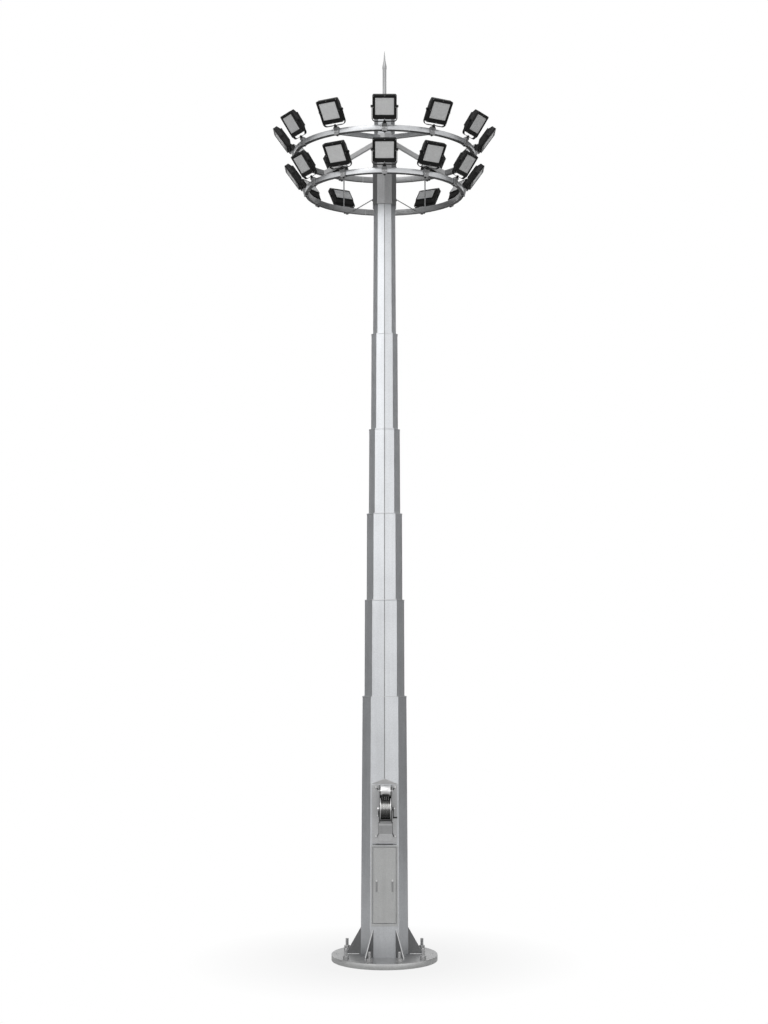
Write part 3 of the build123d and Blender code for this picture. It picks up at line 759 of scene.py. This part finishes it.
def add_heat_sink(bm):
    """A pale plate with its fins, inside a black frame."""
    middle = Matrix.Translation((0, back_face + sink_plate / 2, 0))
    chamfered_block(bm, (sink_width, sink_plate, sink_tall), middle, 0.0012, heat_sink)
    loops = []
    for grow, out in ((frame_outer, 0.0), (frame_outer, sink_frame), (frame_inner, sink_frame),
                      (frame_inner, 0.0)):
        loops.append(rounded(sink_width + grow, sink_tall + grow - 0.002, 0.010, back_face + out))
    bridge(bm, loops, housing, caps=(False, False))
    fin = (fin_thickness, fin_height - 0.003, sink_tall - 0.016)
    y = back_face + sink_plate + fin_height / 2 - 0.001
    pitch = (sink_width - fin_thickness - 0.008) / (fin_count - 1)
    for x in steps_about_middle(fin_count, pitch):
        chamfered_block(bm, fin, Matrix.Translation((x, y, 0)), 0.001, heat_sink)


def add_ribs(bm):
    """Cooling ribs down both sides of the housing, clear of the pivots."""
    start = lamp_front + bezel_depth + 0.004
    length = rib_end - start
    pitch = (lamp_tall - 2 * lamp_corner - 0.010) / (rib_count - 1)
    for side in (-1, 1):
        x = side * (lamp_width / 2 - 0.0012)
        for z in steps_about_middle(rib_count, pitch):
            if abs(z) > pivot_clear:
                place = Matrix.Translation((x, start + length / 2, z))
                chamfered_block(bm, (rib_width, length, rib_tall), place, 0.0008, rib)


def add_bezel_screws(bm):
    x, z = lamp_width / 2 - screw_inset, lamp_tall / 2 - screw_inset
    profile = [(screw_radius, 0), (screw_radius, 0.0008), (screw_radius - 0.0015, 0.0014)]
    for spot_z in (-z, 0, z):
        for spot_x in (-x, 0, x):
            if spot_x or spot_z:
                place = towards(Vector((spot_x, lamp_front + 0.0005, spot_z)), (0, -1, 0))
                lathe(bm, profile, place, 12, screw)


def add_pivot(bm, side):
    """The boss inside the strap, the pin through it and the fluted knob outside it."""
    inner = lamp_width / 2 - 0.003
    strap_face = lamp_width / 2 + strap_gap
    outer = strap_face + strap_thickness

    def along_pivot(x):
        return towards(Vector((side * x, 0, 0)), (side, 0, 0))

    boss = strap_face - inner - 0.0006
    lathe(bm, [(boss_radius, 0), (boss_radius, boss)], along_pivot(inner), 24, housing)
    pin = outer - strap_face + 0.001
    lathe(bm, [(pin_radius, 0), (pin_radius, pin)], along_pivot(strap_face), 12, screw)
    place = along_pivot(outer + 0.0005)
    rings = []
    for scale, height in ((0.93, 0), (1.0, 0.002), (1.0, knob_length - 0.003), (0.86, knob_length)):
        ring = []
        for step, (x, y) in enumerate(circle(knob_radius * scale, knob_points)):
            flute = 1.0 - flute_depth * (step % 4 == 0)
            ring.append(place @ Vector((x * flute, y * flute, height)))
        rings.append(ring)
    bridge(bm, rings, housing)


def place_on_pivot(joint, lean):
    """A place on a floodlight's pivot, leaning from the upright by an angle in degrees."""
    axis = Vector(joint["axis"])
    bearing = math.atan2(axis.y, axis.x)
    turn = Matrix.Rotation(bearing, 4, "Z") @ Matrix.Rotation(math.radians(lean), 4, "X")
    return Matrix.Translation(joint["pos_m"]) @ turn


def floodlights():
    """A copy of one mesh on each pivot, tilted as in the photo."""
    pattern = lamp_mesh()
    for ring in ring_names:
        for number in range(1, lamp_count + 1):
            node = f"{ring}_lamp_{number:02d}"
            tilt = joints[f"{node}_tilt"]
            mesh = pattern.copy()
            mesh.transform(place_on_pivot(tilt, -tilt["range_deg"][0]))
            made = piece(f"{node}_floodlight", mesh, (), node)
            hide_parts(node)
    bpy.data.meshes.remove(pattern)


def yoke_fittings(ring):
    """The tapered neck under each strap and the nut inside it."""
    bm = bmesh.new()
    neck = [(neck_foot_radius, 0.0005), (neck_foot_radius, 0.005),
            (neck_top_radius, neck_length - 0.004), (neck_top_radius, neck_length)]
    neck_foot = -yoke_drop - strap_thickness - neck_length
    for number in range(1, lamp_count + 1):
        place = place_on_pivot(joints[f"{ring}_lamp_{number:02d}_tilt"], yoke_lean)
        lathe(bm, neck, place @ Matrix.Translation((0, 0, neck_foot)), 24)
        hex_head(bm, place @ Matrix.Translation((0, 0, -yoke_drop)), yoke_nut)
    piece(f"{ring}_yoke_fittings", bm, (STRAP,), "mast")


def clamp_bolts(ring):
    """Two bolts in each clamp's face and the dark one under its lower jaw."""
    bm = bmesh.new()
    low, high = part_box(f"{ring}_ring")
    radius = high.x
    face = (low.z + high.z) / 2 - clamp_bolt_drop
    for index in range(lamp_count):
        turn = at_bearing(index * 360 / lamp_count)
        for x in (-clamp_bolt_reach, clamp_bolt_reach):
            spot = Vector((x, -radius - clamp_wall, face))
            hex_head(bm, turn @ towards(spot, (0, -1, 0)), clamp_bolt)
        under = Vector((0, jaw_bolt_inset - radius, low.z - clamp_jaw))
        hex_head(bm, turn @ towards(under, (0, 0, -1)), yoke_nut, 1)
    piece(f"{ring}_clamp_bolts", bm, (FASTENER, DARK_METAL), "mast")


# --- mast, base and head details ---
def decagon(radius, z):
    return [at_bearing(step * side_angle) @ Vector((0, -radius, z)) for step in range(side_count)]


def section_welds():
    """A bead where each section stands on the collar of the one below."""
    bm = bmesh.new()
    for index in range(2, section_count + 1):
        node = f"mast_section_{index}"
        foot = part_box(node)[0].z
        radius = max(vertex.co.xy.length for vertex in cad_nodes[node].data.vertices
                     if vertex.co.z < foot + 0.001)
        bead(bm, decagon(radius + weld_lift, foot + weld_lift), closed=True)
    piece("section_welds", bm, (WELD_STEEL,), "mast")


def ridge_ends(node, side):
    """Both ends of a section's ridge, on the front (-1) or the back (1) of the mast."""
    ridge = [vertex.co.copy() for vertex in cad_nodes[node].data.vertices
             if abs(vertex.co.x) < 0.002 and vertex.co.y * side > 0]
    lowest = min(point.z for point in ridge)
    highest = max(point.z for point in ridge)
    feet = [point for point in ridge if point.z < lowest + 0.001]
    tops = [point for point in ridge if point.z > highest - 0.001]
    return [max(points, key=lambda point: abs(point.y)) for points in (feet, tops)]


def ridge_seams():
    """The long seam of every section, ground down flush on the front and back ridge, in a darker
    zinc that paints shade along the ridge.
    """
    bm = bmesh.new()
    for index in range(1, section_count + 1):
        for side in (-1, 1):
            foot, top = ridge_ends(f"mast_section_{index}", side)
            inwards = Vector((0, -side * seam_sunk, 0))
            rings = []
            for point in (foot, foot.lerp(top, 0.5), top):
                rings.append([point + inwards + Vector((seam_half * a, side * seam_rise * b, 0))
                              for a, b in circle(1.0, 12)])
            bridge(bm, rings)
    piece("ridge_seams", bm, (SHADED_STEEL,), "mast")


def gusset_welds():
    """Beads along both sides of each gusset's foot."""
    bm = bmesh.new()
    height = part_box("base_flange")[1].z + weld_lift
    for bearing in gusset_bearings:
        for side in (-1, 1):
            x = side * (gusset_half + weld_lift)
            bead(bm, [at_bearing(bearing) @ Vector((x, -reach, height)) for reach in gusset_foot])
    piece("gusset_welds", bm, (WELD_STEEL,), "mast")


def anchor_bolts():
    """Threaded studs with washers and chamfered nuts, in the holes that the CAD fills."""
    bm = bmesh.new()
    flange_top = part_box("base_flange")[1].z
    seat = flange_top + washer_thickness
    nut_top = seat + nut_height
    stud_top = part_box("anchor_bolts")[1].z
    corner = nut_flats / math.sqrt(3)
    washer = [(washer_radius, flange_top), (washer_radius, seat - 0.001),
              (washer_radius - 0.002, seat)]
    nut = [(corner * 0.93, seat), (corner, seat + nut_bevel), (corner, nut_top - nut_bevel),
           (corner * 0.9, nut_top)]
    stud = [(stud_radius, 0.0), (stud_radius, seat)]
    height = seat + 0.002
    while height < stud_top - 2 * thread_pitch:
        stud += [(stud_radius, height), (stud_radius - thread_depth, height + thread_pitch / 2)]
        height += thread_pitch
    stud += [(stud_radius, height), (stud_radius - 0.005, stud_top)]
    for index in range(side_count):
        bearing = (index + 0.5) * side_angle
        if bearing not in empty_hole_bearings:
            foot = at_bearing(bearing) @ Matrix.Translation((0, -bolt_circle_radius, 0))
            lathe(bm, washer, foot, 36)
            lathe(bm, nut, foot, 6)
            lathe(bm, stud, foot, 20)
    made = piece("anchor_bolt_set", bm, (FASTENER,), "mast", 30.0)
    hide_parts("anchor_bolts")


def hoop(bm, inner, outer, low, high, material):
    """A flat hoop round the mast's axis."""
    loops = []
    for radius, z in ((outer, low), (outer, high), (inner, high), (inner, low), (outer, low)):
        loops.append([Vector((x, y, z)) for x, y in circle(radius, 120)])
    bridge(bm, loops, material, caps=(False, False))
    join_doubles(bm)


def ring_seams(ring):
    """The butt welds where the ring's bent lengths meet, and a near-black band of painted shade
    along its foot.
    """
    bm = bmesh.new()
    low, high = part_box(f"{ring}_ring")
    outer = high.x
    inner = outer - ring_thickness
    rim = ((outer, low.z), (outer, high.z), (inner, high.z), (inner, low.z))
    for bearing in ring_weld_bearings:
        turn = at_bearing(bearing)
        bead(bm, [turn @ Vector((0, -radius, z)) for radius, z in rim], ring_weld_radius, True)
    # painted shade: a near-black band round the ring's foot
    hoop(bm, outer - shade_band_inside, outer + shade_band_outside, low.z - shade_band_below, low.z + shade_band_above, 1)
    piece(f"{ring}_ring_seams", bm, (WELD_STEEL, UNDERSIDE_PAINTED_SHADE), "mast")


# --- winch and door ---
def joint_place(name):
    return Vector(joints[name]["pos_m"])


def rope_turns():
    """The wound rope: one helix over a core, ending on the drum."""
    bm = bmesh.new()
    low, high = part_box("winch_rope")
    centre = joint_place("drum_spin")
    width = high.x - low.x
    radius = (high.z - low.z - rope_diameter) / 2
    core = radius - 0.001
    lathe(bm, [(core, 0.0), (core, width)], towards(Vector((low.x, *centre.yz)), (1, 0, 0)), 56)
    start = low.x + rope_diameter / 2 + rope_end_gap
    travel = width - rope_diameter - 2 * rope_end_gap
    count = (int(width / rope_diameter) - 1) * rope_steps
    half = rope_diameter / 2 - 0.0002
    rings = []
    for step in range(count + 1):
        angle = 2 * math.pi * step / rope_steps
        outward = Vector((0, math.cos(angle), math.sin(angle)))
        middle = Vector((start + travel * step / count, *centre.yz)) + outward * radius
        rings.append([middle + outward * half * a + Vector((half * b, 0, 0))
                      for a, b in circle(1.0, 8)])
    bridge(bm, rings)
    made = piece("wound_rope", bm, (ROPE,), "drum_and_crank", 60.0)
    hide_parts("winch_rope")


def plate_place(x, height, out=0.0):
    """A place in front of the winch plate: Z up the plate, -Y straight out of it."""
    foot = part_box("winch_plate")[0]
    up = -Vector(joints["door_hinge"]["axis"])
    outward = Vector(joints["left_lock_turn"]["axis"])
    spot = Vector((x, foot.y, foot.z)) + up * (height - foot.z) + outward * out
    turn = Matrix((Vector((1, 0, 0)), -outward, up)).transposed().to_4x4()
    return Matrix.Translation(spot) @ turn


def strap(bm, start, end, width, material):
    """A flat strap between two points, with its thickness outwards."""
    along = (end - start).normalized()
    across = along.cross(Vector(joints["left_lock_turn"]["axis"])).normalized()
    turn = Matrix((across, along.cross(across), along)).transposed()
    place = Matrix.Translation((start + end) / 2) @ turn.to_4x4()
    size = (width, stay_thickness, (end - start).length)
    chamfered_block(bm, size, place, min(width, stay_thickness) * 0.3, material)


def winch_fittings():
    """Bolts and stays at the plate's corners, a dark sheet of painted shade behind the drum, a
    crossbar and a pawl.
    """
    bm = bmesh.new()
    zinc, dark, bright, cheek = range(4)
    foot, top = (corner.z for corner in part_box("winch_plate"))
    frame_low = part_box("winch_frame")[0]
    drum = joint_place("drum_spin")
    facing_out = Matrix.Rotation(math.radians(90), 4, "X")
    on_dome = Matrix.Translation((0, 0, corner_dome[-1][1]))
    for side, lower in ((-1, cheek), (1, dark)):
        for height in (foot + 0.116, top - 0.038):
            base = plate_place(drum.x + side * 0.168, height) @ facing_out
            lathe(bm, corner_dome, base, 24, zinc)
            hex_head(bm, base @ on_dome, corner_bolt, bright)
        stays = (  # reach and height of both ends, width, finish
            (0.112, top - 0.110, 0.150, top - 0.052, 0.015, dark),
            (0.150, foot + 0.102, 0.118, foot + 0.170, 0.015, lower),
            (0.118, foot + 0.170, 0.118, frame_low.z + 0.010, 0.013, lower),
        )
        for reach, height, end_reach, end_height, width, finish in stays:
            start = plate_place(drum.x + side * reach, height, stay_out).translation
            end = plate_place(drum.x + side * end_reach, end_height, stay_out).translation
            strap(bm, start, end, width, finish)
    # painted shade: a thin dark sheet on the plate behind the drum and roller
    shade_sheet_foot = frame_low.z + 0.062
    shade_sheet_top = joint_place("roller_spin").z + 0.050
    shade_sheet_middle, shade_sheet_tall = (shade_sheet_foot + shade_sheet_top) / 2, shade_sheet_top - shade_sheet_foot
    blocks = (  # across, height, out from the plate, size, chamfer, finish
        (drum.x, shade_sheet_middle, 0.0018, (0.202, 0.003, shade_sheet_tall), 0.0012, dark),
        (drum.x, shade_sheet_foot - 0.022, 0.021, (0.206, 0.040, 0.018), 0.003, dark),  # crossbar
        (drum.x, shade_sheet_foot - 0.006, 0.024, (0.190, 0.040, 0.008), 0.002, bright),  # its edge
        (0.0, foot - 0.022, -0.004, (0.420, 0.016, 0.010), 0.003, dark),  # painted shade: a dark strip for the shadow line under the plate
        (0.0, foot - 0.022, -0.004, (0.300, 0.026, 0.015), 0.004, dark),
    )
    for x, height, out, size, chamfer, finish in blocks:
        chamfered_block(bm, size, plate_place(x, height, out), chamfer, finish)
    cheek_face = Vector((frame_low.x, drum.y + 0.012, drum.z))
    pawl = Matrix.Translation(cheek_face + Vector((-0.0058, 0, -0.085)))
    chamfered_block(bm, (0.011, 0.030, 0.110), pawl, 0.002, dark)
    bolt = towards(cheek_face + Vector((-0.0115, 0, -0.120)), (-1, 0, 0))
    hex_head(bm, bolt, pawl_bolt, bright)
    materials = (WINCH_STEEL, DARK_METAL, BRIGHT, CHEEK_STEEL)
    piece("winch_fittings", bm, materials, "mast")


def rope_to_mast():
    """Four falls of rope, up from the back of the drum and behind the roller into the mast."""
    drum, roller = joint_place("drum_spin"), joint_place("roller_spin")
    clearance = rope_diameter / 2 + rope_gap
    first, second = ((high.z - low.z) / 2 + clearance
                     for low, high in (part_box("winch_rope"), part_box("winch_roller")))
    between = Vector((0, roller.y - drum.y, roller.z - drum.z))
    along = between.normalized()
    back = Vector((0, along.z, -along.y))
    lean = math.asin((first - second) / between.length)
    touch = back * math.cos(lean) + along * math.sin(lean)
    line = [drum + touch * first, roller + touch * second]
    start = math.atan2(touch.z, touch.y)
    for step in range(1, rope_wrap_steps + 1):
        angle = start + math.radians(rope_wrap) * step / rope_wrap_steps
        line.append(roller + Vector((0, math.cos(angle), math.sin(angle))) * second)
    line.append(line[-1] + Vector((0, -math.sin(angle), math.cos(angle))) * rope_tail)
    bm = bmesh.new()
    half = rope_diameter / 2
    across = Vector((1, 0, 0))
    for offset in rope_runs:
        rings = []
        for index, point in enumerate(line):
            ahead = line[min(index + 1, len(line) - 1)] - line[max(index - 1, 0)]
            outward = ahead.normalized().cross(across)
            rings.append([point + across * offset + outward * (half * a) + across * (half * b)
                          for a, b in circle(1.0, 12)])
        bridge(bm, rings)
    piece("rope_to_mast", bm, (ROPE,), "mast", 60.0)


def winch_axle_ends():
    """Bright hexagon nuts on both ends of the drum's axle."""
    bm = bmesh.new()
    centre = joint_place("drum_spin")
    drum_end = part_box("winch_drum")[0].x + 0.0005
    crank_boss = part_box("winch_crank")[1].x - crank_handle
    for x, size in ((drum_end, left_axle_nut), (crank_boss, right_axle_nut)):
        hex_head(bm, towards(Vector((x, *centre.yz)), (1, 0, 0)), size)
    piece("axle_nuts", bm, (BRIGHT,), "drum_and_crank")


def door_lock(side):
    """A bright round boss with its lever, and the nut inside the door."""
    node = f"door_lock_{side}"
    centre = joint_place(f"{side}_lock_turn")
    out = Vector(joints[f"{side}_lock_turn"]["axis"])
    bm = bmesh.new()
    for profile, segments in ((lock_boss, 32), (lock_shaft, 20), (lock_nut, 6)):
        lathe(bm, profile, towards(centre, out), segments)
    lever_drop = centre.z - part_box(node)[0].z - lever_half
    rings = []
    for depth, inset in lever_layers:
        outline = []
        for drop, sign in ((0.0, 1), (lever_drop, -1)):
            for step in range(lever_steps + 1):
                angle = math.pi * step / lever_steps
                radius = (lever_half - inset) * sign
                edge = Vector((radius * math.cos(angle), 0, radius * math.sin(angle) - drop))
                outline.append(centre + out * depth + edge)
        rings.append(outline)
    bridge(bm, rings, 1)
    made = piece(f"{node}_fitting", bm, (BRIGHT, LEVER), f"{side}_lock")
    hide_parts(node)


# --- setting ---
def white_floor():
    """A floor that takes the object's shadow near it and is plain white further out."""
    shader = Shader("floor_white")
    shader.fixed(Base_Color=(floor_grey, floor_grey, floor_grey, 1), Roughness=0.9)
    distance = shader.add("ShaderNodeVectorMath", operation="LENGTH")
    shader.join(shader.place, distance.inputs[0])
    fade = shader.spread(distance.outputs["Value"], fade_least, 1.0, fade_start, fade_end)
    path = shader.add("ShaderNodeLightPath")
    share = shader.add("ShaderNodeMix")
    shader.join(path.outputs["Is Camera Ray"], share.inputs["Factor"])
    shader.join(shader.product(path.outputs["Is Glossy Ray"], floor_in_mirrors), share.inputs["A"])
    shader.join(fade, share.inputs["B"])
    mix = shader.add("ShaderNodeMixShader")
    shader.join(share.outputs["Result"], mix.inputs["Fac"])
    shader.join(shader.surface.outputs["BSDF"], mix.inputs[1])
    shader.join(shader.add("ShaderNodeEmission").outputs["Emission"], mix.inputs[2])
    shader.join(mix.outputs["Shader"], shader.tree.nodes["Material Output"].inputs["Surface"])
    return shader.material


def floor():
    bm = bmesh.new()
    bmesh.ops.create_circle(bm, cap_ends=True, segments=96, radius=floor_radius)
    mesh = bpy.data.meshes.new("floor")
    bm.to_mesh(mesh)
    bm.free()
    mesh.materials.append(white_floor())
    made = placed("floor", mesh)
    made.location.z = -floor_drop


def side_cards():
    """Grey studio cards beside the mast, out of view, that give the metal its darker facets."""
    shader = Shader("card_grey")
    shader.fixed(Base_Color=(card_grey, card_grey, card_grey, 1), Roughness=1.0)
    for name, x in (("card_left", -card_side), ("card_right", card_side)):
        near, far = card_back
        corners = [(x, near, 0), (x, far, 0), (x, far, card_tall), (x, near, card_tall)]
        mesh = bpy.data.meshes.new("card")
        mesh.from_pydata(corners, [], [(0, 1, 2, 3)])
        mesh.materials.append(shader.material)
        made = placed(name, mesh)
        made.visible_camera = False


def world_light():
    """Soft ambient light, and white wherever the camera, metal or glass sees the background."""
    world = bpy.data.worlds.new("studio")
    world.use_nodes = True
    nodes = Nodes(world.node_tree)
    background = nodes.tree.nodes["Background"]
    background.inputs["Color"].default_value = (1, 1, 1, 1)
    path = nodes.add("ShaderNodeLightPath")
    seen = path.outputs["Is Camera Ray"]
    for ray in ("Is Glossy Ray", "Is Transmission Ray"):
        seen = nodes.combine("MAXIMUM", seen, path.outputs[ray])
    nodes.join(nodes.spread(seen, ambient_light, 1.0), background.inputs["Strength"])
    bpy.context.scene.world = world


def softbox(name, place, target, size, brightness):
    """A soft rectangular lamp of a given brightness."""
    light = bpy.data.lights.new(name, "AREA")
    light.shape = "RECTANGLE"
    light.size, light.size_y = size
    light.energy = brightness * math.pi * size[0] * size[1]
    made = placed(name, light)
    made.location = place
    made.rotation_euler = (Vector(target) - Vector(place)).to_track_quat("-Z", "Y").to_euler()
    made.visible_camera = False


def camera():
    data = bpy.data.cameras.new("camera")
    data.sensor_width = sensor_width
    data.lens = focal_length
    data.clip_end = view_reach
    made = placed("camera", data)
    made.location = (camera_side, -camera_distance, camera_height)
    made.rotation_euler = (math.radians(90 + camera_pitch), 0, 0)
    bpy.context.scene.camera = made


def setting():
    bpy.context.scene.view_settings.view_transform = "Standard"
    floor()
    side_cards()
    world_light()
    for light in softboxes:
        softbox(*light)
    camera()


dress_cad_nodes()
floodlights()
for ring_name in ring_names:
    yoke_fittings(ring_name)
    clamp_bolts(ring_name)
    ring_seams(ring_name)
section_welds()
ridge_seams()
gusset_welds()
anchor_bolts()
rope_turns()
winch_fittings()
rope_to_mast()
winch_axle_ends()
door_lock("left")
door_lock("right")
setting()
